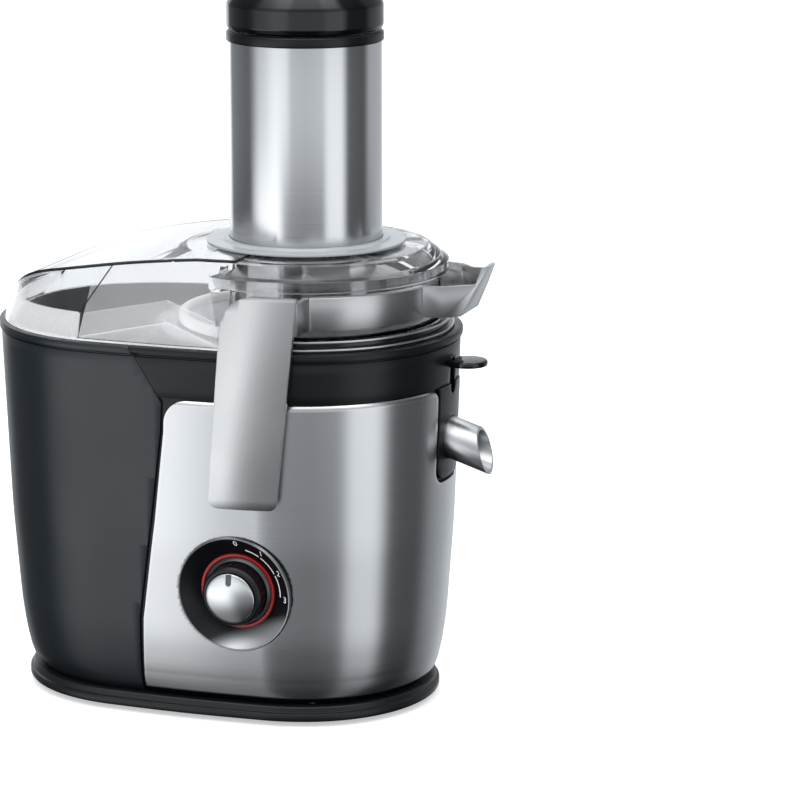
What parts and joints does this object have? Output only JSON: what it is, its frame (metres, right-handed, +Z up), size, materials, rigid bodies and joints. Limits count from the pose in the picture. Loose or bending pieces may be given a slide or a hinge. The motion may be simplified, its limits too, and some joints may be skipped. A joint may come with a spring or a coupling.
{
  "type": "centrifugal juicer",
  "caption": "Electric centrifugal juicer: oval motor base with dial, steel spout, clear lid with tall feed chute, swing-over locking bar, pusher and side pulp container.",
  "frame": {"origin": "centre of the outline in plan, on the surface that the feet stand on", "axes": "+Z up, -Y to the front with the dial, +X to the spout end"},
  "size_m": [0.3118, 0.207, 0.434],
  "materials": {
    "steel_panel": "satin brushed",
    "steel_chute": "satin brushed",
    "steel_bright": "polished",
    "steel_mesh": "perforated sheet",
    "bar_metal": "satin",
    "knob_metal": "satin",
    "anthracite": "satin",
    "black_satin": "satin",
    "black_gloss": "gloss",
    "base_grey": "satin",
    "grey_plastic": "satin",
    "clear_lid": "clear plastic",
    "white_plastic": "semi-gloss",
    "red_plastic": "gloss",
    "rubber": "matt",
    "motor_iron": "laminated",
    "copper": "enamelled wire",
    "board": "satin",
    "carbon": "matt"
  },
  "bodies": {
    "motor_base": {"base_plate": "base_grey", "foot_1": "rubber", "foot_2": "rubber", "foot_3": "rubber", "foot_4": "rubber", "cord_gland": "rubber", "shaft_seal": "rubber", "base_screw_1": "steel_bright", "base_screw_2": "steel_bright", "base_screw_3": "steel_bright", "base_screw_4": "steel_bright", "spout_nozzle": "steel_bright", "bearing_lower": "steel_bright", "bearing_upper": "steel_bright", "motor_housing": "black_satin", "upper_band": "black_satin", "spout_panel": "black_satin", "dial_bezel": "black_satin", "speed_switch": "black_satin", "interlock_switch": "black_satin", "front_panel": "steel_panel", "bar_boss_front": "bar_metal", "bar_boss_rear": "bar_metal", "dial_red_ring": "red_plastic", "motor_stator": "motor_iron", "motor_bracket_lower": "grey_plastic", "motor_bracket_upper": "grey_plastic", "juice_bowl": "grey_plastic", "carbon_brush_front": "carbon", "carbon_brush_rear": "carbon", "control_board": "board", "bowl_rim_ring": "clear_lid"},
    "drive": {"motor_shaft": "steel_bright", "motor_rotor": "copper", "commutator": "copper", "cooling_fan": "grey_plastic", "drive_coupling": "black_satin", "basket_hub": "white_plastic", "filter_basket": "steel_mesh", "grater_disc": "steel_bright", "basket_rim": "white_plastic"},
    "knob": {"knob_skirt": "black_satin", "knob_face": "knob_metal", "knob_pointer": "white_plastic"},
    "locking_bar": {"locking_bar": "bar_metal", "bar_pin_front": "steel_bright", "bar_pin_rear": "steel_bright"},
    "drip_stop": {"drip_stop_lever": "black_gloss", "drip_stop_gate": "black_satin"},
    "pulp_container": {"pulp_container": "anthracite"},
    "lid": {"lid_dome": "clear_lid", "lid_collar": "grey_plastic", "feed_tube": "grey_plastic", "chute_sleeve": "steel_chute", "chute_rim": "black_satin"},
    "pusher": {"pusher_body": "black_satin", "pusher_cap": "black_gloss"}
  },
  "joints": [
    {"name": "drive_spin", "type": "hinge", "parent": "motor_base", "child": "drive", "pos_m": [0.0389, 0, 0.1], "axis": [0, 0, 1], "continuous": true},
    {"name": "dial_turn", "type": "hinge", "parent": "motor_base", "child": "knob", "pos_m": [0.0249, -0.08756, 0.083], "axis": [0, 0.9976, 0.0698], "range_deg": [0, 93]},
    {"name": "bar_swing", "type": "hinge", "parent": "motor_base", "child": "locking_bar", "pos_m": [0.0339, 0, 0.145], "axis": [0, 1, 0], "range_deg": [0, 90]},
    {"name": "drip_stop_slide", "type": "slide", "parent": "motor_base", "child": "drip_stop", "axis": [0, 0, -1], "range_m": [0, 0.014]},
    {"name": "container_slide", "type": "slide", "parent": "motor_base", "child": "pulp_container", "axis": [-1, 0, 0], "range_m": [0, 0.22]},
    {"name": "lid_lift", "type": "slide", "parent": "motor_base", "child": "lid", "axis": [0, 0, 1], "range_m": [0, 0.12]},
    {"name": "pusher_slide", "type": "slide", "parent": "lid", "child": "pusher", "axis": [0, 0, 1], "range_m": [0, 0.13]}
  ]
}
